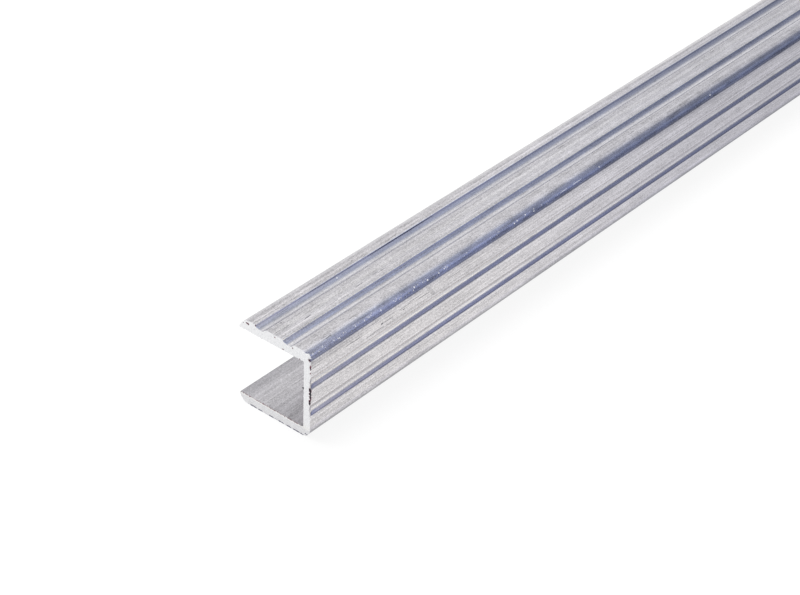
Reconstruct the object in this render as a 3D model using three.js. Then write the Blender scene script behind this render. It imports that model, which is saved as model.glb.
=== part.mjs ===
// Aluminium edge channel: a U-shaped extrusion whose two flanges slip over the edge of a board, with two
// grooves along the outside of the top flange and two along the outside of the web. It is one bar, sawn
// square to length. Millimetres: +X runs along the bar, the slot opens towards -Y, +Z is up, and the
// origin lies under the middle of the bar.
import * as THREE from "three";

// Driving dimensions of the bar.
const stockLength = 1000;
const slotHeight = 10; // clear gap between the flanges
const slotDepth = 10.7; // from the flange tips to the inner face of the web
const webWall = 1;
const topWall = 1.5;
const bottomWall = 1.3;

// Roundings of the section.
const topCornerRadius = 1.5; // outer corner between the web and the top flange
const bottomCornerRadius = 1.2; // outer corner between the web and the bottom flange
const rootRadius = 0.2; // inner corners of the slot
const topTipRadius = 1.9; // outer edge of the top flange's tip
const bottomTipRadius = 1.5; // outer edge of the bottom flange's tip
const noseRadius = 0.12; // edges of both tips towards the slot

// Grooves: each pair is spaced evenly about the middle of its face.
const topGroovePitch = 4.55;
const topGrooveWidth = 2;
const topGrooveDepth = 0.48;
const topGrooveSharpLip = 0.15; // radius of the groove's lip on the side of the flange's tip
const topGrooveSoftLip = 0.45; // radius of its lip on the side of the web
const webGroovePitch = 4.13;
const webGrooveWidth = 2;
const webGrooveDepth = 0.33;
const webGrooveLip = 0.5; // both lips

const arcSteps = 8; // straight facets in each arc of the section
const doubledPoint = 1e-6; // two outline points closer than this are one

// Levels and edges of the section, with x across the bar and y up.
const mouth = -(slotDepth + webWall) / 2;
const back = -mouth;
const slotBack = mouth + slotDepth;
const slotFloor = bottomWall;
const slotRoof = slotFloor + slotHeight;
const top = slotRoof + topWall;

// Cuts a round-bottomed groove into a straight face of a counter-clockwise outline. The root arc and the
// two lip arcs touch without a kink, so the root's radius follows from the groove's width and depth and
// the radii of its lips. The groove's lowest line lies nearer to its sharper lip.
function addGroove(outline, middle, outward, width, depth, lips) {
  const skew = (depth * (lips[0] - lips[1])) / width;
  const runs = [width / 2 + skew, width / 2 - skew];
  const root = (runs[0] ** 2 + depth ** 2) / (2 * depth) - lips[0];
  const leans = lips.map((lip, i) => Math.asin(runs[i] / (root + lip)));
  const facing = outward.angle();
  const onward = outward.clone().rotateAround(new THREE.Vector2(), Math.PI / 2);
  const place = (along, out) =>
    middle.clone().addScaledVector(onward, along).addScaledVector(outward, out);
  const firstLip = place(-width / 2, -lips[0]);
  const rootCentre = place(skew, root - depth);
  const lastLip = place(width / 2, -lips[1]);
  outline.absarc(firstLip.x, firstLip.y, lips[0], facing, facing + leans[0], false);
  outline.absarc(
    rootCentre.x,
    rootCentre.y,
    root,
    facing + Math.PI + leans[0],
    facing + Math.PI - leans[1],
    true,
  );
  outline.absarc(lastLip.x, lastLip.y, lips[1], facing - leans[1], facing, false);
}

// Rounds one corner of the outline: centre of the arc, radius, and the quarter turn that starts at the
// given angle. An outside corner turns counter-clockwise, an inside one clockwise.
function addCorner(outline, x, y, radius, start, inside = false) {
  const turn = inside ? -Math.PI / 2 : Math.PI / 2;
  outline.absarc(x, y, radius, start, start + turn, inside);
}

// Rounds the tip of a flange, above the slot where side is 1 and below it where side is -1. The broad outer
// arc goes round the small nose at the slot, and the two touch without a kink.
function addTip(outline, slotFace, wall, radius, side) {
  const between = radius - noseRadius;
  const rise = radius + noseRadius - wall;
  const nose = new THREE.Vector2(mouth + noseRadius, slotFace + side * noseRadius);
  const broad = new THREE.Vector2(
    nose.x + Math.sqrt(between ** 2 - rise ** 2),
    slotFace + side * (wall - radius),
  );
  const handover = Math.PI - side * Math.asin(rise / between);
  const arcs = [
    [broad, radius],
    [nose, noseRadius],
  ];
  const [first, last] = side > 0 ? arcs : arcs.reverse();
  outline.absarc(first[0].x, first[0].y, first[1], Math.PI / 2, handover, false);
  outline.absarc(last[0].x, last[0].y, last[1], handover, (3 * Math.PI) / 2, false);
}

// The section, drawn counter-clockwise from the lower outer corner.
function channelOutline() {
  const right = 0;
  const up = Math.PI / 2;
  const down = -Math.PI / 2;
  const webMiddle = (slotFloor + slotRoof) / 2;
  const topMiddle = (mouth + back) / 2;
  const webLips = [webGrooveLip, webGrooveLip];
  const topLips = [topGrooveSoftLip, topGrooveSharpLip];
  const outline = new THREE.Shape();

  addCorner(outline, back - bottomCornerRadius, bottomCornerRadius, bottomCornerRadius, down);
  for (const side of [-1, 1]) {
    const middle = new THREE.Vector2(back, webMiddle + (side * webGroovePitch) / 2);
    const outward = new THREE.Vector2(1, 0);
    addGroove(outline, middle, outward, webGrooveWidth, webGrooveDepth, webLips);
  }
  addCorner(outline, back - topCornerRadius, top - topCornerRadius, topCornerRadius, right);
  for (const side of [1, -1]) {
    const middle = new THREE.Vector2(topMiddle + (side * topGroovePitch) / 2, top);
    const outward = new THREE.Vector2(0, 1);
    addGroove(outline, middle, outward, topGrooveWidth, topGrooveDepth, topLips);
  }
  addTip(outline, slotRoof, topWall, topTipRadius, 1);
  addCorner(outline, slotBack - rootRadius, slotRoof - rootRadius, rootRadius, up, true);
  addCorner(outline, slotBack - rootRadius, slotFloor + rootRadius, rootRadius, right, true);
  addTip(outline, slotFloor, bottomWall, bottomTipRadius, -1);
  return outline;
}

// Where two arcs meet, their ends differ by a rounding error: one point is kept.
function withoutDoubledPoints(outline) {
  const points = outline.getPoints(arcSteps);
  const isSingle = (point, i) => {
    const next = points[(i + 1) % points.length];
    return point.distanceTo(next) > doubledPoint;
  };
  return new THREE.Shape(points.filter(isSingle));
}

function makeChannel() {
  const section = withoutDoubledPoints(channelOutline());
  const geometry = new THREE.ExtrudeGeometry(section, { depth: stockLength, bevelEnabled: false });
  const millFinish = new THREE.MeshStandardMaterial({
    color: 0xc6c6ca,
    roughness: 0.38,
    metalness: 1,
  });
  const channel = new THREE.Mesh(geometry, millFinish);
  channel.name = "u_channel";
  // The section is drawn in x and y and extruded along z: these turns lay it along X, with its y up.
  channel.rotation.set(Math.PI / 2, Math.PI / 2, 0);
  channel.position.x = -stockLength / 2;
  return channel;
}

const part = new THREE.Group();
part.add(makeChannel());

export default part;
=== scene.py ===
# Aluminium edge channel, one bar of mill-finish stock, lying on a studio floor.
import math

import bmesh
import bpy
from mathutils import Matrix, Vector, noise


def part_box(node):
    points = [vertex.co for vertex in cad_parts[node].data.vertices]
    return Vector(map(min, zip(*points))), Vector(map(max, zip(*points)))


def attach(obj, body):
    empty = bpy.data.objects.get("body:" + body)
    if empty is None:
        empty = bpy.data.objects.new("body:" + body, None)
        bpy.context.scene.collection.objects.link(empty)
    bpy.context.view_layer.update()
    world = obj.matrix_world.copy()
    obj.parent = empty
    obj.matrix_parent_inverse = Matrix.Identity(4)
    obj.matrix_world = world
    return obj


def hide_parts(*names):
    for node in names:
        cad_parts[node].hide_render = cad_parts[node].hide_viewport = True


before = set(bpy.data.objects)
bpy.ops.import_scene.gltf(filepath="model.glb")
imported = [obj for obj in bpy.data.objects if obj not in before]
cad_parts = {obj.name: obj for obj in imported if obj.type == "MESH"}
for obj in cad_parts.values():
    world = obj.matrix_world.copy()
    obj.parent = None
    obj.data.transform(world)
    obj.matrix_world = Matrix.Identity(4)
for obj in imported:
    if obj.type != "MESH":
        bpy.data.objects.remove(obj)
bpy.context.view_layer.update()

mm = 0.001
scene = bpy.context.scene
scene.view_settings.view_transform = "Standard"


cameraSettings = dict(
    place=Vector((648.99, 137.98, 160.82)) * mm,
    right=Vector((-0.642299, 0.765630, 0.035524)),
    up=Vector((-0.420591, -0.390829, 0.818753)),
    lens=93.34,  # mm, as is the sensor
    sensor=36.0,
    nearest=0.01,  # metres in front of the camera at which its view starts and ends
    farthest=50.0,
)


def makeCamera(settings):
    right, up = settings["right"].normalized(), settings["up"].normalized()
    backward = right.cross(up)
    turn = Matrix((right, up, backward)).transposed()
    data = bpy.data.cameras.new("camera")
    data.lens = settings["lens"]
    data.sensor_width = settings["sensor"]
    data.clip_start = settings["nearest"]
    data.clip_end = settings["farthest"]
    camera = bpy.data.objects.new("camera", data)
    camera.matrix_world = Matrix.Translation(settings["place"]) @ turn.to_4x4()
    scene.collection.objects.link(camera)
    scene.camera = camera


makeCamera(cameraSettings)
print("camera placed")


def newMaterial(name):
    material = bpy.data.materials.new(name)
    material.use_nodes = True
    material.node_tree.nodes.clear()
    return material, material.node_tree


def addNode(tree, kind, place, label="", **settings):
    node = tree.nodes.new(kind)
    node.location = place
    node.label = label
    for name, value in settings.items():
        setattr(node, name, value)
    return node


# Gives an input what it needs: another node's output is linked to it, and a plain value is set on it.
def feed(tree, source, target):
    if isinstance(source, bpy.types.NodeSocket):
        tree.links.new(source, target)
    else:
        target.default_value = source


def feedInputs(tree, node, **sources):
    for name, source in sources.items():
        feed(tree, source, node.inputs[name])


def addMath(tree, place, operation, *sources, label="", kind="ShaderNodeMath"):
    node = addNode(tree, kind, place, label, operation=operation)
    for source, target in zip(sources, node.inputs):
        feed(tree, source, target)
    return node.outputs[0]


def addRange(tree, place, source, low, high, toLow=0.0, toHigh=1.0, smooth=True):
    kind = "SMOOTHSTEP" if smooth else "LINEAR"
    node = addNode(tree, "ShaderNodeMapRange", place, interpolation_type=kind)
    limits = {"From Min": low, "From Max": high, "To Min": toLow, "To Max": toHigh}
    feedInputs(tree, node, Value=source, **limits)
    return node.outputs["Result"]


def addMix(tree, place, share, first, second):
    node = addNode(tree, "ShaderNodeMix", place, data_type="RGBA")
    for source, index in ((share, 0), (first, 6), (second, 7)):  # inputs 6 and 7 take the colours
        feed(tree, source, node.inputs[index])
    return node.outputs[2]


def addOutput(tree, kind, place, shader):
    output = addNode(tree, kind, place)
    feed(tree, shader.outputs[0], output.inputs[0])


def addShaderMix(tree, kind, share, first, second):
    mix = addNode(tree, "ShaderNodeMixShader", (-60, 0))
    for source, target in zip((share, first.outputs[0], second.outputs[0]), mix.inputs):
        feed(tree, source, target)
    addOutput(tree, kind, (140, 0), mix)


# One coordinate of a place on the piece.
def readAxis(tree, place, source, axis):
    split = addNode(tree, "ShaderNodeSeparateXYZ", place)
    feed(tree, source, split.inputs[0])
    return split.outputs[axis]


def readLayer(tree, place, name, output="Fac"):
    return addNode(tree, "ShaderNodeAttribute", place, attribute_name=name).outputs[output]


def placeMesh(bm, name):
    mesh = bpy.data.meshes.new(name)
    bm.to_mesh(mesh)
    bm.free()
    piece = bpy.data.objects.new(name, mesh)
    scene.collection.objects.link(piece)
    return piece


white = (1, 1, 1, 1)
studioSettings = dict(
    floorSize=16.0,
    floorColour=(0.9, 0.9, 0.9, 1),
    whiteShare=0.86,  # how much of the floor's look is plain white rather than lit
    skyFill=0.75,
    skySeen=1.0,  # a strength of one shows as white
    lampPower=60.0,
    lampSize=1.6,
    lampPlace=Vector((0.2, -0.9, 1.9)),
)


def makeFloor(settings):
    bm = bmesh.new()
    bmesh.ops.create_grid(bm, x_segments=1, y_segments=1, size=settings["floorSize"] / 2)
    floor = placeMesh(bm, "studioFloor")
    material, tree = newMaterial("studioFloor")
    path = addNode(tree, "ShaderNodeLightPath", (-500, 200)).outputs
    share = addMath(tree, (-300, 200), "MULTIPLY", path["Is Camera Ray"], settings["whiteShare"])
    lit = addNode(tree, "ShaderNodeBsdfDiffuse", (-300, 0))
    feedInputs(tree, lit, Color=settings["floorColour"])
    plain = addNode(tree, "ShaderNodeEmission", (-300, -160))
    addShaderMix(tree, "ShaderNodeOutputMaterial", share, lit, plain)
    floor.data.materials.append(material)
    floor.visible_glossy = False


def makeSky(settings):
    world = bpy.data.worlds.new("studioWhite")
    scene.world = world
    world.use_nodes = True
    tree = world.node_tree
    tree.nodes.clear()
    path = addNode(tree, "ShaderNodeLightPath", (-700, 200)).outputs
    seen = addMath(tree, (-500, 250), "MAXIMUM", path["Is Camera Ray"], path["Is Glossy Ray"])
    seen = addMath(tree, (-320, 200), "MAXIMUM", seen, path["Is Transmission Ray"])
    fill = addNode(tree, "ShaderNodeBackground", (-320, 0), "light on the floor")
    feedInputs(tree, fill, Color=white, Strength=settings["skyFill"])
    shown = addNode(tree, "ShaderNodeBackground", (-320, -140), "what is seen and mirrored")
    feedInputs(tree, shown, Color=white, Strength=settings["skySeen"])
    addShaderMix(tree, "ShaderNodeOutputWorld", seen, fill, shown)


def makeLamp(settings):
    data = bpy.data.lights.new("softLamp", "AREA")
    data.shape = "DISK"
    data.size = settings["lampSize"]
    data.energy = settings["lampPower"]
    lamp = bpy.data.objects.new("softLamp", data)
    lamp.location = settings["lampPlace"]
    lamp.rotation_euler = (-settings["lampPlace"]).to_track_quat("-Z", "Y").to_euler()
    lamp.visible_glossy = False
    scene.collection.objects.link(lamp)


makeFloor(studioSettings)
makeSky(studioSettings)
makeLamp(studioSettings)


# A curved backdrop that is seen only in the metal. It is white opposite the bar's middle and darker towards
# both sides, and draws the stripes along the grooves and the corner.
backdropSettings = dict(
    radius=3.0,
    reach=7.5,  # along the bar, to each side
    lowest=-130.0,  # degrees above the level of the bar
    highest=145.0,
    steps=110,
    fade=(1.35, 1.72),  # distances from the middle between which the first shades come in
    deepen=(2.05, 2.95),  # and between which they turn into the deep shades
    dim=(2.4, 3.5),  # and between which it all dims to the next share
    dimShare=0.8,
    # Degrees above the level of the bar, and the colour there.
    firstShades=(
        (-120, (0.78, 0.78, 0.80)), (-60, (1.13, 1.12, 1.085)), (-24, (1.13, 1.12, 1.09)),
        (-13, (0.25, 0.288, 0.465)), (22, (0.248, 0.293, 0.53)), (50, (0.425, 0.472, 0.66)),
        (80, (0.57, 0.635, 0.80)), (113, (1.0, 1.0, 1.0)),
    ),
    deepShades=(
        (-120, (0.72, 0.73, 0.77)), (-60, (0.945, 0.948, 0.99)), (-28, (0.90, 0.905, 0.95)),
        (-13, (0.25, 0.278, 0.395)), (16, (0.176, 0.21, 0.355)), (44, (0.242, 0.278, 0.40)),
        (78, (0.45, 0.487, 0.61)), (114, (0.995, 1.005, 1.04)),
    ),
)


def makeShadeRamp(tree, place, source, stops, lowest, highest):
    ramp = addNode(tree, "ShaderNodeValToRGB", place)
    elements = ramp.color_ramp.elements
    while len(elements) < len(stops):
        elements.new(0.5)  # each is put in its place below
    for stop, (level, colour) in zip(elements, stops):
        stop.position = (level - lowest) / (highest - lowest)
        stop.color = (*colour, 1)
    feed(tree, source, ramp.inputs["Fac"])
    return ramp.outputs["Color"]


def shadeBackdrop(settings):
    material, tree = newMaterial("backdrop")
    height = readLayer(tree, (-900, 0), "height")
    spot = addNode(tree, "ShaderNodeTexCoord", (-1300, -300)).outputs["Object"]
    aside = addMath(tree, (-900, -300), "ABSOLUTE", readAxis(tree, (-1100, -300), spot, "X"))
    limits = (settings["lowest"], settings["highest"])
    first = makeShadeRamp(tree, (-700, 100), height, settings["firstShades"], *limits)
    deep = makeShadeRamp(tree, (-700, -150), height, settings["deepShades"], *limits)
    firstShare = addRange(tree, (-700, -400), aside, *settings["fade"])
    deepShare = addRange(tree, (-700, -640), aside, *settings["deepen"])
    dim = addRange(tree, (-700, -880), aside, *settings["dim"], 1.0, settings["dimShare"])
    both = addMix(tree, (-400, 0), deepShare, first, deep)
    faded = addMix(tree, (-220, 0), firstShare, white, both)
    glow = addNode(tree, "ShaderNodeEmission", (0, 0))
    feedInputs(tree, glow, Color=faded, Strength=dim)
    addOutput(tree, "ShaderNodeOutputMaterial", (200, 0), glow)
    return material


def makeBackdrop(settings):
    bm = bmesh.new()
    start = math.radians(settings["lowest"])
    sweep = math.radians(settings["highest"]) - start
    rim = Vector((0, math.cos(start), math.sin(start))) * settings["radius"]
    ends = [bm.verts.new(rim + Vector((x, 0, 0))) for x in (-settings["reach"], settings["reach"])]
    edge = bm.edges.new(ends)
    bmesh.ops.spin(
        bm, geom=[*ends, edge], cent=(0, 0, 0), axis=(1, 0, 0), dvec=(0, 0, 0),
        angle=sweep, steps=settings["steps"], use_merge=False, use_duplicate=False,
    )
    heights = bm.verts.layers.float.new("height")
    for vert in bm.verts:
        angle = math.atan2(vert.co.z, vert.co.y) - start
        vert[heights] = angle / sweep
    backdrop = placeMesh(bm, "backdrop")
    backdrop.data.materials.append(shadeBackdrop(settings))
    backdrop.visible_camera = False
    backdrop.visible_diffuse = False
    backdrop.visible_transmission = False
    backdrop.visible_volume_scatter = False
    backdrop.visible_shadow = False


makeBackdrop(backdropSettings)
print("floor, light and backdrop made")


barSettings = dict(
    weld=0.002 * mm,
    flatAngle=0.05,  # degrees; faces that turn less are one face
    lineGap=0.1 * mm,  # spacing of the lines cut along the bar
    lineSnap=0.012 * mm,
    lineDepth=0.0035 * mm,  # die lines
    lineWidth=0.35 * mm,
    fineness=2.7,  # how much narrower the fine die lines are than the broad ones
    fineShare=0.6,  # and how deep they are next to the broad ones
    stations=(0.03, 0.08, 0.14, 0.2, 0.27, 0.38, 0.7, 1.6, 4.0, 9.0),  # mm from each sawn end
    wallLean=0.5,  # a wall's normal points less than this along the bar, and a cut's more than the next
    cutLean=0.9,
    sharpAngle=40.0,
)
sawnSlot = 1  # the bar's second material is bare sawn metal, and its first the mill finish

# Measures of the section that the marks go by, in mm: the web's outside and the rounded top corner.
sectionSettings = dict(back=5.85, cornerAcross=4.35, cornerUp=11.3, cornerRadius=1.5)

# Bands along the bar, given by their middle, across and up, and their width to each side, in mm.
sideSettings = dict(
    # Lines that the die left, and how dark they are.
    lines=(
        (-5.83, 1.24, 0.16, 0.45), (-4.3, 12.8, 0.14, 0.15), (-3.2, 12.74, 0.1, 0.05),
        (-1.06, 12.8, 0.16, 0.06), (-0.87, 12.8, 0.12, 0.06), (0.2, 12.8, 0.15, 0.15), (0.9, 12.8, 0.12, 0.08),
        (5.84, 11.5, 0.2, 0.2), (5.85, 11.25, 0.11, 0.2), (5.85, 11.02, 0.1, 0.34), (5.85, 10.42, 0.1, 0.14),
        (5.85, 10.75, 0.1, 0.07), (5.85, 10.5, 0.1, 0.18), (5.85, 9.6, 0.12, 0.12), (5.85, 2.6, 0.12, 0.1),
        (5.85, 1.95, 0.12, 0.1),
    ),
    # Bands of painted shade and painted highlight, for what the metal mirrors and the shade at the groove lips,
    # the corners and the slot, and by how much darker or brighter in red, green and blue.
    paintedShadeAndHighlights=(
        (-5.6, 1.3, 3.2, (0.79, 0.79, 0.8)), (-5.84, 1.24, 0.2, (0.64, 0.64, 0.66)),
        (0.8, 1.3, 2.4, (0.92, 0.92, 0.925)), (-4.22, 12.79, 0.2, (0.95, 0.95, 0.95)),
        (-3.8, 12.8, 0.3, (1.15, 1.14, 1.13)), (-3.19, 12.77, 0.1, (1.65, 1.58, 1.4)),
        (-3.08, 12.65, 0.09, (0.84, 0.8, 0.78)), (-2.72, 12.41, 0.34, (0.74, 0.76, 0.84)),
        (-2.92, 12.52, 0.3, (1.12, 1.1, 1.05)), (-2.44, 12.33, 0.28, (0.85, 0.87, 0.89)),
        (-2.1, 12.36, 0.22, (1.15, 1.13, 1.1)), (-0.38, 12.8, 0.5, (1.16, 1.16, 1.14)),
        (0.39, 12.8, 0.14, (0.92, 0.92, 0.93)), (0.66, 12.8, 0.24, (1.14, 1.13, 1.12)),
        (1.1, 12.8, 0.16, (0.94, 0.95, 0.97)), (1.36, 12.76, 0.13, (1.6, 1.53, 1.3)),
        (1.58, 12.54, 0.22, (1.1, 1.09, 1.07)), (1.78, 12.42, 0.36, (0.76, 0.78, 0.85)),
        (1.92, 12.36, 0.14, (0.92, 0.94, 0.97)), (2.58, 12.41, 0.3, (1.23, 1.22, 1.18)),
        (3.9, 12.8, 0.2, (0.97, 0.97, 0.97)), (4.56, 12.79, 0.3, (0.88, 0.88, 0.89)),
        (4.88, 12.7, 0.2, (1.08, 1.06, 1.02)), (5.17, 12.54, 0.3, (0.73, 0.73, 0.76)),
        (5.5, 12.27, 0.24, (1.2, 1.22, 1.22)), (5.66, 12.04, 0.12, (0.86, 0.87, 0.88)),
        (5.79, 11.72, 0.24, (0.48, 0.49, 0.52)), (5.85, 11.34, 0.26, (0.76, 0.76, 0.78)),
        (5.85, 10.98, 0.16, (0.87, 0.87, 0.89)), (5.85, 10.7, 0.14, (1.08, 1.08, 1.08)),
        (5.85, 10.5, 0.26, (0.92, 0.92, 0.92)), (5.85, 9.95, 0.42, (1.14, 1.14, 1.15)),
        (5.84, 9.36, 0.18, (1.1, 1.1, 1.13)), (5.53, 8.46, 0.24, (0.88, 0.9, 0.93)),
        (5.56, 8.07, 0.2, (1.46, 1.42, 1.26)), (5.66, 7.8, 0.34, (1.08, 1.02, 0.95)),
        (5.78, 7.62, 0.12, (1.4, 1.34, 1.24)), (5.83, 7.48, 0.19, (0.44, 0.46, 0.52)),
        (5.84, 5.18, 0.14, (1.14, 1.14, 1.17)), (5.58, 4.48, 0.32, (0.74, 0.75, 0.79)),
        (5.57, 3.91, 0.22, (1.5, 1.45, 1.3)), (5.66, 3.66, 0.34, (1.14, 1.08, 1.0)),
        (5.73, 3.56, 0.12, (1.18, 1.13, 1.06)), (5.82, 3.41, 0.19, (0.55, 0.55, 0.6)),
        (5.85, 3.07, 0.14, (0.94, 0.94, 0.93)), (5.85, 2.78, 0.16, (1.15, 1.15, 1.16)),
        (5.85, 5.85, 0.35, (1.07, 1.07, 1.07)), (5.85, 1.85, 0.25, (0.96, 0.96, 0.97)),
        (5.85, 1.38, 0.36, (0.8, 0.8, 0.85)), (5.8, 0.85, 0.5, (0.42, 0.43, 0.46)),
    ),
    # Bands of painted highlight along the lips of the grooves and on the top, and how bright.
    paintedHighlights=(
        (-1.95, 12.41, 0.55, 0.75), (2.6, 12.41, 0.55, 0.68), (5.68, 8.97, 0.3, 0.14), (5.66, 4.85, 0.35, 0.26),
        (5.53, 8.25, 0.16, 0.16), (5.54, 4.05, 0.16, 0.3), (5.85, 7.15, 0.16, 0.12), (5.85, 3.12, 0.16, 0.12),
        (5.64, 7.82, 0.5, 0.26), (5.64, 3.7, 0.5, 0.26), (-2.85, 12.5, 0.5, 0.2), (0.2, 12.8, 1.7, 0.08),
    ),
    # Worn corners: centre across and up, radius, the angle and spread of the wear, and how worn they are.
    ridges=(
        (4.35, 11.3, 1.5, 51, 13, 1.0), (4.65, 1.2, 1.2, 128, 25, 0.5),
    ),
    onCorner=0.1,  # how near to a corner's radius a point is part of it
    wornCore=0.3,  # share of the spread that is worn in full
    mottleAngle=42,  # the cloudy band round a corner, with the angles at which it starts and ends to fade
    mottleFade=(30, 50),
    slotMouth=4.87,  # what lies further towards the mouth than this, and this near to the middle, is slot
    slotMiddle=6.3,
    slotHalf=5.08,
)

# Bright nicks along the outer corner: place along the bar, angle round the corner, length and width in mm.
nickSettings = dict(
    rounds=2,  # of subdivision
    height=0.5,  # shares of the width
    sunk=0.1,
    nicks=(
        (475.2, 55, 0.26, 0.2), (473.5, 52, 0.2, 0.14), (483.6, 50, 0.2, 0.14), (488.75, 48, 0.22, 0.16),
        (488.1, 37, 0.16, 0.12), (499.1, 49, 0.24, 0.18), (499.65, 41, 0.3, 0.3), (499.7, 60, 0.26, 0.22),
        (498.1, 55, 0.2, 0.14), (497.3, 46, 0.2, 0.14), (494.6, 52, 0.18, 0.14), (491.3, 50, 0.2, 0.14),
        (455.1, 56, 0.3, 0.16), (440.0, 50, 0.3, 0.18), (448.3, 52, 1.9, 0.08), (445.2, 52, 2.2, 0.09),
        (412.0, 53, 0.4, 0.16), (371.0, 47, 0.3, 0.18), (-472.0, 54, 0.25, 0.18), (-481.5, 49, 0.2, 0.14),
        (-460.2, 52, 1.8, 0.09), (-130.0, 51, 0.3, 0.18), (55.0, 55, 1.6, 0.1), (240.0, 48, 0.3, 0.16),
    ),
)

# Marks of the saw at the two ends. Cracks run on the web's outside through points (depth from the end, up) and
# have a half width in mm; spots are across, up and radius in mm; runs are stretches across the bar. The last
# number of each says how torn the metal is, and so how dark it is drawn with painted shade. Burrs are curls of
# metal: across, up, size and thickness in mm, and whether they are dark with painted shade.
nearEndSettings = dict(
    side=1,
    seed=3.0,
    grooveBurr=0.65,  # share of the web's grooves that the burr closes
    cracks=(
        (((0, 7.85), (0.04, 7.45), (0.2, 7.2), (0.1, 6.95), (0.18, 6.6)), 0.16, 1.2),
        (((0.18, 6.6), (0.08, 6.4), (0.22, 6.1)), 0.16, 1.02),
        (((0.22, 6.0), (0.04, 5.75), (0.04, 5.3)), 0.16, 0.94), (((0.02, 12.2), (0.03, 11.85)), 0.13, 0.97),
        (((0.06, 11.1), (0.12, 10.5)), 0.12, 0.92), (((0.07, 10.1), (0.07, 9.9)), 0.09, 0.88),
    ),
    spots=(
        (-5.12, 12.21, 0.13, 0.74), (-4.57, 12.41, 0.15, 1.1), (-4.3, 12.36, 0.15, 1.1),
        (0.08, 12.55, 0.15, 0.8), (3.02, 12.37, 0.16, 0.84), (1.42, 11.45, 0.14, 0.87),
        (4.18, 11.3, 0.16, 0.82), (-3.15, 12.75, 0.16, 0.8), (5.26, 0.4, 0.14, 0.95), (5.49, 0.36, 0.12, 0.85),
    ),
    lowerRuns=(
        (-4.3, 5.0, 0.42), (-3.96, -3.1, 0.9), (-2.67, -2.07, 0.7), (-0.88, -0.2, 0.75), (0.81, 1.49, 0.85),
        (2.24, 2.66, 1.0), (3.33, 4.17, 0.9), (4.5, 4.8, 0.75),
    ),
    floorRuns=(
        (-5.7, 3.9, 0.62), (-4.41, -3.69, 0.75), (-2.96, -2.17, 0.65), (1.31, 1.99, 0.7), (2.49, 2.89, 0.85),
        (3.45, 3.6, 0.75),
    ),
    burrs=(
        (5.45, 12.36, 0.74, 0.1, 0), (5.66, 12.53, 0.42, 0.1, 0), (4.75, 7.27, 0.27, 0.12, 1),
    ),
)
farEndSettings = dict(
    side=-1,
    seed=11.0,
    grooveBurr=0.5,
    cracks=(
        (((0, 3.6), (0.12, 3.2), (0.08, 2.8), (0.02, 2.3)), 0.1, 1.1), (((0.03, 9.2), (0.1, 8.3)), 0.08, 1.0),
        (((0.06, 7.1), (0.08, 6.6)), 0.07, 0.9),
    ),
    spots=(
        (-3.7, 12.6, 0.13, 0.8), (0.6, 12.5, 0.12, 0.7), (3.6, 12.6, 0.14, 0.8), (-1.2, 11.4, 0.12, 0.7),
        (2.6, 11.4, 0.13, 0.7),
    ),
    lowerRuns=(
        (-4.1, 4.9, 0.42), (-3.1, -2.2, 0.85), (0.3, 0.9, 0.8), (2.2, 3.1, 0.9), (4.0, 4.4, 0.75),
    ),
    floorRuns=(
        (-5.6, 4.0, 0.36), (-4.9, -4.2, 0.8), (0.1, 0.7, 0.75), (2.8, 3.4, 0.8),
    ),
    burrs=(
        (5.5, 0.5, 0.45, 0.1, 0), (5.3, 12.35, 0.6, 0.1, 0), (4.76, 4.1, 0.18, 0.12, 1),
    ),
)

# What both cuts share. Lengths are in mm, and a pair gives where a thing starts and ends to fade.
sawSettings = dict(
    reach=2.0,  # how far from its end the saw changes the bar
    onFace=0.001,  # what lies nearer to the end than this is the cut itself
    rim=(0.02, 0.3),
    edgeTornShade=0.3,  # how torn, and so darkened with painted shade, the cut's edge is everywhere
    ragged=0.022 * mm,  # how far the rim swings in and out
    ragFade=(0.02, 0.25),
    ragOutward=0.25,
    ragWaves=((1, 3.1, 2), (0.7, 8, 3)),  # share, and how fine each is over the cut and along the bar
    relief=0.012 * mm,  # depth of the saw's marks on the cut
    reliefMean=0.8,
    reliefWaves=((1, 4, 0), (0.6, 11, 0)),
    tornRelief=1.5,  # how much deeper it is where the metal is torn
    grooveDepth=0.4,
    grooveLevels=(2.5, 10.2),
    grooveFade=(0.05, 0.5),
    crackDepth=0.02,  # under the web's outside
    crackFade=(0.4, 1.6),  # shares of the half width
    spotFade=(0.3, 1.5),
    runFade=(0.25, 1),
    runs=dict(lowerRuns=(0.06, 0.22), floorRuns=(1.32, 0.17)),  # their height and their radius
    burrRounds=3,
    burrTorn=2.0,  # painted shade of the dark ones
    burrSwing=0.35,  # how uneven a burr is
    burrPitch=2.5,
    burrStand=0.3,
)

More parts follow.
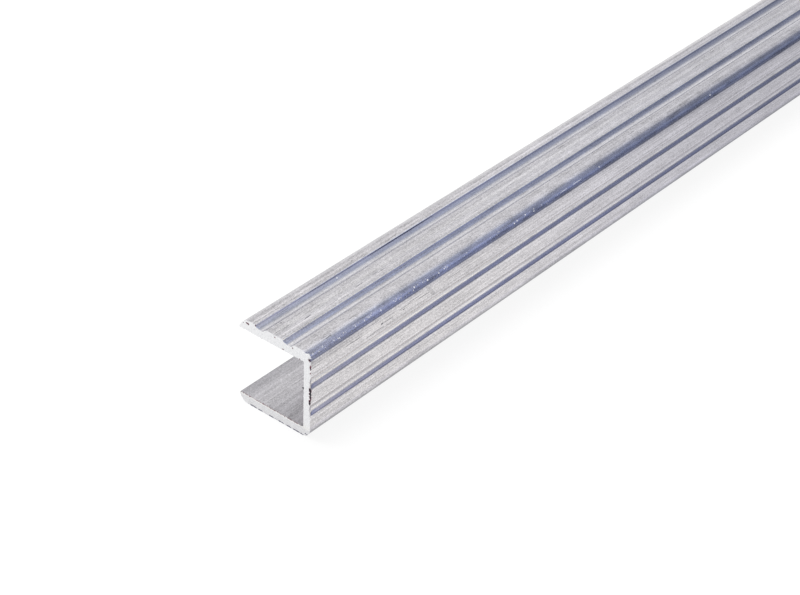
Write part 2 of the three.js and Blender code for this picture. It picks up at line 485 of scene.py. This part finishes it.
# Short scratches and specks: lean of the surface in degrees, places along the bar, across and up, length,
# width, turn in degrees, and how dark they are, or -1 for bare metal. Lengths are in mm.
fleckSettings = dict(
    rounds=3,
    height=0.15,  # share of the width
    highest=0.02,
    flecks=(
        (0, 494.4, 0.36, 12.8, 1.4, 0.11, 3, 0.85), (0, 497.7, -0.13, 12.8, 1.2, 0.11, 3, 0.5),
        (0, 497.5, -1.2, 12.8, 0.28, 0.2, 0, 0.7), (0, 490.1, 0.62, 12.8, 2.4, 0.1, 2, 0.45),
        (0, 488.2, 0.84, 12.8, 2.4, 0.1, 0, 0.4), (0, 484.9, 0.46, 12.8, 1.6, 0.1, 2, 0.65),
        (0, 481.5, 0.21, 12.8, 1.1, 0.1, 0, 0.65), (0, 480.3, 0.4, 12.8, 1.2, 0.1, 2, 0.65),
        (0, 470.3, 1.0, 12.8, 1.6, 0.09, 0, 0.5), (0, 452.7, -0.2, 12.8, 1.8, 0.1, 2, 0.5),
        (0, 430.0, 3.9, 12.8, 1.6, 0.12, 0, 0.5), (38, 485.2, -2.88, 12.48, 0.34, 0.24, 0, -1),
        (48, 472.5, -3.11, 12.68, 15.0, 0.17, 0, 0.95), (48, 487.0, -3.11, 12.68, 14.0, 0.13, 0, 0.45),
        (90, 496.0, 5.85, 10.98, 1.8, 0.09, 0, 0.4), (90, 492.8, 5.85, 10.54, 1.6, 0.1, 2, 0.6),
        (90, 491.4, 5.85, 10.49, 2.0, 0.1, 0, 0.75), (90, 488.8, 5.85, 9.71, 1.8, 0.09, 0, 0.5),
        (90, 487.4, 5.85, 9.81, 2.4, 0.09, 0, 0.5), (90, 486.65, 5.85, 10.36, 0.4, 0.24, 10, 1),
        (90, 485.6, 5.85, 10.32, 2.2, 0.12, 0, 0.75), (90, 485.2, 5.85, 10.9, 2.2, 0.09, 0, 0.7),
        (90, 482.4, 5.85, 10.37, 0.32, 0.2, 0, 0.95), (90, 482.0, 5.85, 10.69, 2.8, 0.1, 0, 0.7),
        (90, 480.3, 5.85, 10.9, 2.6, 0.1, 0, 0.6), (90, 478.4, 5.85, 10.45, 3.2, 0.1, 0, 0.75),
        (90, 477.1, 5.85, 10.5, 2.7, 0.6, -49, 0.26), (90, 473.7, 5.85, 9.1, 1.4, 0.1, 0, 0.5),
        (90, 472.4, 5.85, 10.6, 3.4, 0.1, 0, 0.6), (90, 461.5, 5.85, 10.7, 2.8, 0.1, 0, 0.55),
        (90, 488.5, 5.85, 11.2, 2.6, 0.09, 0, 0.65), (90, 489.9, 5.85, 1.48, 1.0, 0.14, 22, 0.5),
        (90, 489.3, 5.85, 1.3, 0.5, 0.12, -40, 0.4), (90, 467.6, 5.85, 2.6, 2.0, 0.5, 15, 0.12),
        (90, 441.0, 5.85, 6.2, 1.4, 0.1, 4, 0.5), (0, -493.1, -0.4, 12.8, 1.3, 0.1, 4, 0.7),
        (90, -487.5, 5.85, 10.5, 1.2, 0.09, 0, 0.5), (90, -480.2, 5.85, 6.4, 1.4, 0.08, 3, 0.5),
        (0, -471.6, 4.0, 12.8, 1.0, 0.1, 0, 0.5), (0, -120.4, 0.3, 12.8, 2.2, 0.12, 3, 0.6),
        (90, 88.6, 5.85, 6.3, 2.0, 0.12, 5, 0.5),
    ),
)


def copyNode(name):
    bm = bmesh.new()
    bm.from_mesh(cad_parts[name].data)
    bmesh.ops.remove_doubles(bm, verts=bm.verts, dist=barSettings["weld"])
    bmesh.ops.dissolve_limit(
        bm, angle_limit=math.radians(barSettings["flatAngle"]), verts=bm.verts, edges=bm.edges,
        use_dissolve_boundaries=False, delimit=set(),
    )
    return bm


def sliceAt(bm, point, normal):
    bmesh.ops.bisect_plane(
        bm, geom=[*bm.verts, *bm.edges, *bm.faces], plane_co=point, plane_no=normal,
        dist=barSettings["lineSnap"], clear_inner=False, clear_outer=False,
    )


seedSteps = (7.3, 3.1, 5.7)  # how far apart the waves of one seed and the next are taken


def wave(seed, *place):
    return noise.noise(Vector(place) + Vector([seed * step for step in seedSteps]))


def addWaves(seed, waves, y, z, depth):
    total = 0
    for index, (share, fine, deep) in enumerate(waves):
        total += share * wave(seed + index, y * fine, z * fine, depth * deep)
    return total


# Falls smoothly from one to nothing as the value goes from low to high.
def fade(low, high, value):
    share = min(max((value - low) / (high - low), 0), 1)
    return 1 - share * share * (3 - 2 * share)


def raiseTo(vert, layer, value):
    vert[layer] = max(vert[layer], value)


# Which way the bar's outer or inner walls face at a point, or None inside a cut.
def wallNormal(vert):
    walls = [face.normal for face in vert.link_faces if abs(face.normal.x) < barSettings["wallLean"]]
    return sum(walls, Vector()).normalized() if walls else None


def cutDieLines(bm, settings):
    width, fine = settings["lineWidth"], settings["fineness"]
    moves = {}
    for vert in bm.verts:
        outward = wallNormal(vert)
        if outward is None:
            continue
        y, z = vert.co.y, vert.co.z
        lines = wave(1, y / width, z / width, 0)
        fineLines = wave(2, fine * y / width, fine * z / width, 0)
        moves[vert] = outward * settings["lineDepth"] * (lines + settings["fineShare"] * fineLines)
    for vert, move in moves.items():
        vert.co += move


def markSides(bm, settings, layers):
    for vert in bm.verts:
        y, z = vert.co.y / mm, vert.co.z / mm
        for bands, layer in (("lines", "drawn"), ("paintedHighlights", "paintedHighlights")):
            for across, up, width, share in settings[bands]:
                gap = math.hypot(y - across, z - up)
                raiseTo(vert, layers[layer], share * fade(0, width, gap))
        # Painted shade and painted highlight; where bands overlap, their factors multiply.
        for across, up, width, paintedShadeAndHighlight in settings["paintedShadeAndHighlights"]:
            near = fade(0, width, math.hypot(y - across, z - up))
            now = vert[layers["paintedShadeAndHighlight"]]  # kept as what it adds to one
            parts = [(1 + was) * (1 + near * (part - 1)) - 1 for was, part in zip(now, paintedShadeAndHighlight)]
            vert[layers["paintedShadeAndHighlight"]] = Vector(parts)
        for across, up, radius, middle, reach, share in settings["ridges"]:
            away = math.hypot(y - across, z - up)
            angle = math.degrees(math.atan2(y - across, z - up))
            if abs(away - radius) < settings["onCorner"]:
                worn = fade(settings["wornCore"] * reach, reach, abs(angle - middle))
                raiseTo(vert, layers["ridge"], share * worn)
                cloudy = fade(*settings["mottleFade"], abs(angle - settings["mottleAngle"]))
                raiseTo(vert, layers["mottled"], share * cloudy)
        inSlot = y < settings["slotMouth"] and abs(z - settings["slotMiddle"]) < settings["slotHalf"]
        vert[layers["inside"]] = 1.0 if inSlot else 0.0


# A small closed ball, one millimetre across before it is shaped.
def addBead(bm, rounds):
    return bmesh.ops.create_icosphere(bm, subdivisions=rounds, radius=mm / 2)["verts"]


def finishBead(bm, verts, matrix, slot):
    bmesh.ops.transform(bm, matrix=matrix, verts=verts)
    for face in {face for vert in verts for face in vert.link_faces}:
        face.smooth = True
        face.material_index = slot


# Each nick is a small closed bump that sits partly sunk in the corner.
def addNicks(bm, settings, section):
    for along, angle, length, width in settings["nicks"]:
        turn = math.radians(angle)
        outward = Vector((0, math.sin(turn), math.cos(turn)))
        centre = Vector((along, section["cornerAcross"], section["cornerUp"]))
        centre = (centre + outward * (section["cornerRadius"] - settings["sunk"] * width)) * mm
        across = outward.cross(Vector((1, 0, 0)))
        lean = Matrix((Vector((1, 0, 0)), across, outward)).transposed().to_4x4()
        shape = Matrix.Diagonal((length, width, settings["height"] * width, 1))
        verts = addBead(bm, settings["rounds"])
        finishBead(bm, verts, Matrix.Translation(centre) @ lean @ shape, sawnSlot)


def addFlecks(bm, settings, scratched):
    for lean, along, across, up, length, width, turn, dark in settings["flecks"]:
        verts = addBead(bm, settings["rounds"])
        for vert in verts:
            vert[scratched] = max(dark, 0)
        height = min(settings["height"] * width, settings["highest"])
        shape = Matrix.Diagonal((length, width, height, 1))
        spin = Matrix.Rotation(-math.radians(lean), 4, "X") @ Matrix.Rotation(math.radians(turn), 4, "Z")
        place = Matrix.Translation(Vector((along, across, up)) * mm)
        finishBead(bm, verts, place @ spin @ shape, sawnSlot if dark < 0 else 0)


# Thin curls of metal that the saw pushed over the edges of the cut. The dark ones carry painted shade.
def addBurrs(bm, end, settings, saw, tornShade):
    for across, up, size, thickness, dark in settings["burrs"]:
        verts = addBead(bm, saw["burrRounds"])
        for vert in verts:
            spot, pitch = vert.co / mm, saw["burrPitch"]
            uneven = wave(settings["seed"], pitch * spot.y, pitch * spot.z, across)
            vert.co *= 1 + saw["burrSwing"] * uneven
            vert[tornShade] = saw["burrTorn"] * dark
        shape = Matrix.Diagonal((thickness, size, size, 1))
        stand = settings["side"] * saw["burrStand"] * thickness * mm
        centre = Vector((end - stand, across * mm, up * mm))
        finishBead(bm, verts, Matrix.Translation(centre) @ shape, sawnSlot)


def gapToLine(points, place):
    gaps = []
    for start, finish in zip(points, points[1:]):
        start, finish = Vector(start), Vector(finish)
        step = finish - start
        share = min(max((place - start).dot(step) / step.length_squared, 0), 1)
        gaps.append((place - start - step * share).length)
    return min(gaps)


# How far a point lies under the web's outside or the rounded top corner.
def depthUnderWeb(section, y, z):
    across, up = y - section["cornerAcross"], z - section["cornerUp"]
    if across > 0 and up > 0:
        return section["cornerRadius"] - math.hypot(across, up)
    return section["back"] - y


# How torn the metal is near a cut, which also sets how dark it is drawn with painted shade.
def tornShadeShare(settings, saw, y, z, depth):
    def share(tornShade, size, ends, gap):
        return tornShade * fade(ends[0] * size, ends[1] * size, gap)

    shares = [0.0]
    under = max(depthUnderWeb(sectionSettings, y, z) - saw["crackDepth"], 0)
    for points, half, tornShade in settings["cracks"]:
        gap = math.hypot(gapToLine(points, Vector((depth, z))), under)
        shares.append(share(tornShade, half, saw["crackFade"], gap))
    for across, up, radius, tornShade in settings["spots"]:
        gap = math.hypot(y - across, z - up, depth)
        shares.append(share(tornShade, radius, saw["spotFade"], gap))
    for name, (level, radius) in saw["runs"].items():
        for low, high, tornShade in settings[name]:
            gap = math.hypot(max(low - y, y - high, 0), z - level, depth)
            shares.append(share(tornShade, radius, saw["runFade"], gap))
    return max(shares)


def sawEnd(bm, settings, saw, layers):
    side, seed = settings["side"], settings["seed"]
    low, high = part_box("u_channel")
    end = high.x if side > 0 else low.x
    lowest, highest = saw["grooveLevels"]
    moves = {}
    for vert in bm.verts:
        depth = (end - vert.co.x) * side / mm
        if depth > saw["reach"]:
            continue
        y, z = vert.co.y / mm, vert.co.z / mm
        onFace = depth < saw["onFace"]
        outward = wallNormal(vert)
        tornShade = tornShadeShare(settings, saw, y, z, depth)
        vert[layers["cut"]] = fade(*saw["rim"], depth) * (1 - vert[layers["inside"]])
        vert[layers["tornShade"]] = tornShade
        move = Vector()
        if outward is not None:
            if onFace:
                raiseTo(vert, layers["tornShade"], saw["edgeTornShade"])
            rag = addWaves(seed, saw["ragWaves"], y, z, depth)
            move += outward * saw["ragged"] * fade(*saw["ragFade"], depth) * (rag + saw["ragOutward"])
            gap = high.y - vert.co.y
            if 0 < gap < saw["grooveDepth"] * mm and lowest < z < highest:
                move.y += gap * settings["grooveBurr"] * fade(*saw["grooveFade"], depth)
        if onFace:
            rough = addWaves(seed + len(saw["ragWaves"]), saw["reliefWaves"], y, z, depth)
            deep = saw["reliefMean"] + rough + saw["tornRelief"] * vert[layers["tornShade"]]
            move.x -= side * saw["relief"] * deep
        moves[vert] = move
    for vert, move in moves.items():
        vert.co += move


def makeBar():
    bm = copyNode("u_channel")
    print("copied", len(bm.verts), len(bm.faces))
    low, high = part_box("u_channel")
    for axis, direction in ((1, Vector((0, 1, 0))), (2, Vector((0, 0, 1)))):
        span = high[axis] - low[axis]
        count = round(span / barSettings["lineGap"])
        for step in range(1, count):
            sliceAt(bm, direction * (low[axis] + span * step / count), direction)
    cutDieLines(bm, barSettings)
    for station in barSettings["stations"]:
        for end, side in ((low.x, 1), (high.x, -1)):
            sliceAt(bm, Vector((end + side * station * mm, 0, 0)), Vector((1, 0, 0)))
    print("sliced", len(bm.verts), len(bm.faces))
    names = ("tornShade", "cut", "drawn", "scratched", "paintedHighlights", "ridge", "mottled", "inside")
    layers = {name: bm.verts.layers.float.new(name) for name in names}
    layers["paintedShadeAndHighlight"] = bm.verts.layers.float_vector.new("paintedShadeAndHighlight")
    markSides(bm, sideSettings, layers)
    for face in bm.faces:
        face.smooth = True
        face.material_index = sawnSlot if abs(face.normal.x) > barSettings["cutLean"] else 0
    for settings in (nearEndSettings, farEndSettings):
        sawEnd(bm, settings, sawSettings, layers)
    limit = math.radians(barSettings["sharpAngle"])
    for edge in bm.edges:
        edge.smooth = edge.calc_face_angle(0) < limit
    addNicks(bm, nickSettings, sectionSettings)
    addFlecks(bm, fleckSettings, layers["scratched"])
    addBurrs(bm, high.x, nearEndSettings, sawSettings, layers["tornShade"])
    addBurrs(bm, low.x, farEndSettings, sawSettings, layers["tornShade"])
    return placeMesh(bm, "channel")


def makeGroup(name, inputs, outputs):
    group = bpy.data.node_groups.new(name, "ShaderNodeTree")
    for way, sockets in (("INPUT", inputs), ("OUTPUT", outputs)):
        for socket, kind in sockets.items():
            group.interface.new_socket(name=socket, in_out=way, socket_type="NodeSocket" + kind)
    entry = addNode(group, "NodeGroupInput", (-1400, 0))
    leave = addNode(group, "NodeGroupOutput", (700, 0))
    return group, entry.outputs, leave


def useGroup(tree, group, place, **values):
    node = addNode(tree, "ShaderNodeGroup", place, group.name, node_tree=group)
    feedInputs(tree, node, **values)
    return node


def addNoise(tree, place, source, scale, detail, roughness=0.5, label=""):
    node = addNode(tree, "ShaderNodeTexNoise", place, label)
    feedInputs(tree, node, Vector=source, Scale=scale, Detail=detail, Roughness=roughness)
    return node.outputs["Fac"]


# The marks that every surface of the metal shares: streaks drawn along the bar, fine grain, short dark
# dashes and cloudy patches. A pattern has its sizes along, across and up in mm, and the noise's detail.
marksSettings = dict(
    drawn=((900, 0.3, 0.3), 2),
    longLines=((14, 0.5, 0.5), 2),
    shortLines=((2.4, 0.2, 0.2), 2),
    hairlines=((24, 0.12, 0.12), 1),
    grain=((0.24, 0.12, 0.12), 1),
    clouds=((3.5, 0.9, 0.9), 3),
    dashes=((2.0, 0.13, 0.13), 1),
    dashCrowds=((11, 1.5, 1.5), 1),
    longShare=0.8,  # strength next to the drawn lines
    hairShare=1.1,
    grainHeight=0.02,
    dashRange=(0.64, 0.73),  # values of the noise between which a dash, or a crowd of them, comes in
    crowdRange=(0.45, 0.7),
)


def makeMarksGroup(settings):
    amounts = dict.fromkeys(("Lines", "Scratches", "Grain", "Dashes", "Clouds"), "Float")
    group, given, leave = makeGroup(
        "drawnMarks", dict(Place="Vector", **amounts), dict(Shade="Float", Height="Float"),
    )

    def pattern(row, name):
        lengths, detail = settings[name]
        perMetre = [1 / mm / length for length in lengths]
        scaled = addMath(
            group, (-1150, row), "MULTIPLY", given["Place"], perMetre, kind="ShaderNodeVectorMath",
        )
        return addNoise(group, (-950, row), scaled, 1.0, detail)

    def spread(row, source, amount, factor=1.0):
        away = addMath(group, (-700, row), "SUBTRACT", source, 0.5)
        scaled = addMath(group, (-540, row), "MULTIPLY", away, given[amount])
        return addMath(group, (-380, row), "MULTIPLY", scaled, factor)

    def total(start, *parts):
        value = start
        for index, part in enumerate(parts):
            value = addMath(group, (-150 + 40 * index, 300 - 60 * index), "ADD", part, value)
        return value

    drawn, hairlines = pattern(600, "drawn"), pattern(1000, "hairlines")
    longLines, shortLines = pattern(400, "longLines"), pattern(200, "shortLines")
    grain, clouds = pattern(0, "grain"), pattern(-200, "clouds")
    sharp = addRange(group, (-700, -400), pattern(-400, "dashes"), *settings["dashRange"])
    crowd = addRange(group, (-700, -600), pattern(-600, "dashCrowds"), *settings["crowdRange"])
    dash = addMath(group, (-450, -450), "MULTIPLY", sharp, crowd)
    dash = addMath(group, (-250, -450), "MULTIPLY", dash, given["Dashes"])
    shade = total(
        1.0,
        spread(600, drawn, "Lines"),
        spread(400, longLines, "Lines", settings["longShare"]),
        spread(1000, hairlines, "Lines", settings["hairShare"]),
        spread(200, shortLines, "Scratches"),
        spread(0, grain, "Grain"),
        spread(-200, clouds, "Clouds"),
        addMath(group, (-90, -450), "MULTIPLY", dash, -1.0),
    )
    height = total(
        0.0,
        spread(900, longLines, "Lines"),
        spread(1050, shortLines, "Scratches"),
        spread(1200, grain, "Grain", settings["grainHeight"]),
    )
    feedInputs(group, leave, Shade=shade, Height=height)
    return group


# Ragged metal where the saw tore it, darkened with painted shade of the crevices under its burrs.
tornShadeSettings = dict(
    ragged=(2.0, 0.6),  # detail and roughness of the noise that moves the edge of a torn place
    raggedRange=(0.25, 0.75),
    swing=0.55,  # and how far it moves it
    maskRange=(0.5, 0.66),
    leastRange=(0.02, 0.2),
    tint=(900.0, 1.0),  # scale and detail of the noise
    redShare=-0.6,  # the less torn the metal is, the redder
    redRange=(-0.1, 0.0),
    black=(0.012, 0.010, 0.018, 1),
    red=(0.14, 0.012, 0.035, 1),
    blue=(0.05, 0.05, 0.12, 1),
    blueRange=(0.5 * mm, 0.9 * mm),  # heights between which the blue gives way
)


def makeTornGroup(settings):
    group, given, leave = makeGroup(
        "tornShadeMetal", dict(Place="Vector", Torn="Float", Size="Float"), dict(Mask="Float", Colour="Color"),
    )
    place, tornShade, swing = given["Place"], given["Torn"], settings["swing"]
    ragged = addNoise(group, (-650, 100), place, given["Size"], *settings["ragged"])
    moved = addRange(group, (-450, 100), ragged, *settings["raggedRange"], -swing, swing, smooth=False)
    both = addMath(group, (-250, 50), "ADD", moved, tornShade)
    gate = addRange(group, (-80, 50), both, *settings["maskRange"])
    few = addRange(group, (-250, -150), tornShade, *settings["leastRange"])
    mask = addMath(group, (120, 50), "MULTIPLY", gate, few)
    tint = addNoise(group, (-450, -300), place, *settings["tint"])
    redder = addMath(group, (-350, -380), "MULTIPLY_ADD", tornShade, settings["redShare"], tint)
    share = addRange(group, (-150, -300), redder, *settings["redRange"])
    dark = addMix(group, (0, -300), share, settings["black"], settings["red"])
    up = readAxis(group, (-450, -550), place, "Z")
    above = addRange(group, (-250, -550), up, *settings["blueRange"])
    colour = addMix(group, (200, -300), above, settings["blue"], dark)
    feedInputs(group, leave, Mask=mask, Colour=colour)
    return group


# Small dents where the bar's corners were knocked, most of them near its ends.
dentSettings = dict(
    shapeRange=(0.2, 0.42),  # from a dent's bottom to its rim
    pickRange=(0.4, 1.0),
    crowd=(160.0, 1.0),  # scale and detail of the noise
    crowdRange=(0.34, 0.6),
    endRange=(0.44, 0.458),  # metres from the bar's middle between which the dents become more
    middleShare=0.25,
)


def makeDentGroup(settings):
    group, given, leave = makeGroup(
        "edgeDents", dict(Place="Vector", Worn="Float", Size="Float"), dict(Mask="Float"),
    )
    place = given["Place"]
    cells = addNode(group, "ShaderNodeTexVoronoi", (-650, 100))
    feedInputs(group, cells, Vector=place, Scale=given["Size"])
    value = addRange(group, (-400, 100), cells.outputs["Distance"], *settings["shapeRange"], 1.0, 0.0)
    pick = addNode(group, "ShaderNodeSeparateColor", (-450, -100))
    feed(group, cells.outputs["Color"], pick.inputs[0])
    few = addRange(group, (-250, -100), pick.outputs[0], *settings["pickRange"], smooth=False)
    crowd = addNoise(group, (-650, -300), place, *settings["crowd"])
    thick = addRange(group, (-400, -300), crowd, *settings["crowdRange"])
    away = addMath(group, (-500, -500), "ABSOLUTE", readAxis(group, (-650, -500), place, "X"))
    nearEnds = addRange(group, (-350, -500), away, *settings["endRange"], settings["middleShare"])
    for index, part in enumerate((few, thick, nearEnds, given["Worn"])):
        value = addMath(group, (-50 + 150 * index, 50), "MULTIPLY", value, part)
    feedInputs(group, leave, Mask=value)
    return group


def shadeColour(tree, place, colour, shade):
    node = addNode(tree, "ShaderNodeVectorMath", place, operation="SCALE")
    feed(tree, colour, node.inputs[0])
    feedInputs(tree, node, Scale=shade)
    return node.outputs[0]


def addTornShade(tree, tornShade, spot, size):
    share = readLayer(tree, (-1500, -300), "tornShade")
    return useGroup(tree, tornShade, (-1200, -300), Place=spot, Torn=share, Size=size).outputs


def addBump(tree, place, height, distance, **more):
    node = addNode(tree, "ShaderNodeBump", place)
    feedInputs(tree, node, Strength=1.0, Distance=distance, Height=height, **more)
    return node.outputs[0]


millSettings = dict(
    colour=(0.585, 0.572, 0.595),
    roughness=0.22,
    roughSwing=0.03,  # lighter places are smoother by this, and darker ones rougher
    roughRange=(0.8, 1.2),
    anisotropy=0.5,
    lines=0.44,
    scratches=0.28,
    grain=1.1,
    dashes=0.6,
    clouds=0.42,
    bump=0.002 * mm,
    lineColour=(0.10, 0.10, 0.12, 1),
    breaks=(45.0, 2.0),  # scale and detail of the noise that breaks the die lines up
    breakRange=(0.35, 0.6),
    slotRoughness=0.34,
    slotLines=-0.05,  # how much stronger or weaker the marks are in the slot
    slotScratches=-0.2,
    slotGrain=-0.05,
    cornerLines=0.4,  # and on the rounded corners
    cornerClouds=1.8,
    cornerGrain=0.2,
    tearSize=6000.0,  # scale of the noise in torn metal
    rimRange=(0.55, 0.95),
    rimShare=0.75,  # how far the rim of a cut is mixed to the bright colour
    brightColour=(0.9, 0.9, 0.93, 1),  # of painted highlights, the rim of a cut and dents
    dentSize=3200.0,
    dentDepth=0.03 * mm,
    dentMetal=0.25,  # how metallic a dent is at its bottom
    dentRange=(0.1, 0.8),
)


def makeMillFinish(settings, marks, tornShade, dentGroup):
    material, tree = newMaterial("millFinish")
    bright = settings["brightColour"]
    spot = addNode(tree, "ShaderNodeTexCoord", (-1500, 0)).outputs["Object"]
    drawn = useGroup(tree, marks, (-1200, 100), Place=spot, Dashes=settings["dashes"])
    shade = drawn.outputs["Shade"]
    inside = readLayer(tree, (-2100, 300), "inside")
    mottled = readLayer(tree, (-2100, 0), "mottled")

    def amount(row, name, *gains):
        value = settings[name]
        for index, (share, gain) in enumerate(gains):
            place, more = (-1850 + 180 * index, row), settings[gain] * settings[name]
            value = addMath(tree, place, "MULTIPLY_ADD", share, more, value, label=name)
        feed(tree, value, drawn.inputs[name.capitalize()])

    amount(500, "lines", (inside, "slotLines"), (mottled, "cornerLines"))
    amount(350, "scratches", (inside, "slotScratches"))
    amount(200, "grain", (inside, "slotGrain"), (mottled, "cornerGrain"))
    amount(50, "clouds", (mottled, "cornerClouds"))

    shaded = shadeColour(tree, (-700, 200), settings["colour"], shade)
    breaks = addNoise(tree, (-1200, 500), spot, *settings["breaks"], label="breaks in the die lines")
    unbroken = addRange(tree, (-1000, 500), breaks, *settings["breakRange"])
    line = addMath(tree, (-820, 450), "MULTIPLY", readLayer(tree, (-1500, 400), "drawn"), unbroken)
    darkest = addMath(tree, (-700, 450), "MAXIMUM", line, readLayer(tree, (-1500, 500), "scratched"))
    lined = addMix(tree, (-600, 350), darkest, shaded, settings["lineColour"])
    # Painted shade and painted highlight from the bands along the bar.
    paintedShadeAndHighlight = readLayer(tree, (-1500, 1300), "paintedShadeAndHighlight", "Vector")
    withPaintedLight = addMath(
        tree, (-350, 450), "MULTIPLY_ADD", paintedShadeAndHighlight, lined, lined, kind="ShaderNodeVectorMath",
    )
    # Painted highlights at the lips, mixed towards the bright colour.
    highlightShare = readLayer(tree, (-1500, 900), "paintedHighlights")
    withHighlights = addMix(tree, (-200, 500), highlightShare, withPaintedLight, bright)
    rim = readLayer(tree, (-1500, 1100), "cut")
    rimShare = addRange(tree, (-350, 700), rim, *settings["rimRange"], 0.0, settings["rimShare"])
    rimmed = addMix(tree, (-100, 500), rimShare, withHighlights, bright)
    ridge = readLayer(tree, (-1500, -700), "ridge")
    dents = useGroup(
        tree, dentGroup, (-1200, -700), Place=spot, Worn=ridge, Size=settings["dentSize"],
    ).outputs["Mask"]
    worn = addMix(tree, (-20, 350), dents, rimmed, bright)
    # Torn metal, darkened with painted shade.
    tornShading = addTornShade(tree, tornShade, spot, settings["tearSize"])
    colour = addMix(tree, (40, 250), tornShading["Mask"], worn, tornShading["Colour"])

    middle, swing = settings["roughness"], settings["roughSwing"]
    varied = addRange(
        tree, (-650, -100), shade, *settings["roughRange"], middle + swing, middle - swing, smooth=False,
    )
    duller = settings["slotRoughness"] - middle
    rough = addMath(tree, (-450, -60), "MULTIPLY_ADD", inside, duller, varied)
    metal = addRange(tree, (40, 60), dents, *settings["dentRange"], 1.0, settings["dentMetal"])
    bump = addBump(tree, (-450, -300), drawn.outputs["Height"], settings["bump"])
    bump = addBump(tree, (-250, -300), dents, settings["dentDepth"], Normal=bump)
    tangent = addNode(tree, "ShaderNodeTangent", (-300, -500), direction_type="RADIAL", axis="X")
    surface = addNode(tree, "ShaderNodeBsdfPrincipled", (250, 0))
    feedInputs(tree, surface, Anisotropic=settings["anisotropy"], Tangent=tangent.outputs[0])
    feedInputs(tree, surface, **{"Base Color": colour}, Roughness=rough, Metallic=metal, Normal=bump)
    addOutput(tree, "ShaderNodeOutputMaterial", (300, 0), surface)
    return material


sawnSettings = dict(
    # Height in mm, and the colour of the cut there: darker in the lower flange, and a painted warm highlight
    # along the slot floor's edge at 1.25 mm.
    levels=(
        (0.0, (0.84, 0.835, 0.84)), (1.05, (0.86, 0.855, 0.855)), (1.25, (0.98, 0.965, 0.93)),
        (2.2, (0.985, 0.985, 0.99)),
    ),
    highest=3,
    roughness=0.45,
    grain=0.6,
    clouds=0.1,
    tearSize=6000.0,
    bump=0.006 * mm,
)


def makeSawnEnd(settings, marks, tornShade):
    material, tree = newMaterial("sawnEnd")
    spot = addNode(tree, "ShaderNodeTexCoord", (-1500, 0)).outputs["Object"]
    drawn = useGroup(
        tree, marks, (-1200, 100), Place=spot, Lines=0.0, Scratches=0.0, Grain=settings["grain"],
        Dashes=0.0, Clouds=settings["clouds"],
    ).outputs
    highest = settings["highest"]
    up = readAxis(tree, (-1200, 400), spot, "Z")
    level = addRange(tree, (-1000, 400), up, 0.0, highest * mm, smooth=False)
    metal = makeShadeRamp(tree, (-900, 400), level, settings["levels"], 0, highest)
    shaded = shadeColour(tree, (-700, 200), metal, drawn["Shade"])
    # Torn metal, darkened with painted shade.
    tornShading = addTornShade(tree, tornShade, spot, settings["tearSize"])
    colour = addMix(tree, (-450, 150), tornShading["Mask"], shaded, tornShading["Colour"])
    bump = addBump(tree, (-450, -300), drawn["Height"], settings["bump"])
    surface = addNode(tree, "ShaderNodeBsdfPrincipled", (0, 0))
    feedInputs(tree, surface, Metallic=1.0, Roughness=settings["roughness"])
    feedInputs(tree, surface, **{"Base Color": colour}, Normal=bump)
    addOutput(tree, "ShaderNodeOutputMaterial", (300, 0), surface)
    return material


bar = makeBar()
marksGroup = makeMarksGroup(marksSettings)
tornShadeGroup = makeTornGroup(tornShadeSettings)
dentGroup = makeDentGroup(dentSettings)
bar.data.materials.append(makeMillFinish(millSettings, marksGroup, tornShadeGroup, dentGroup))
bar.data.materials.append(makeSawnEnd(sawnSettings, marksGroup, tornShadeGroup))
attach(bar, "root")
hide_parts("u_channel")
print("bar made")
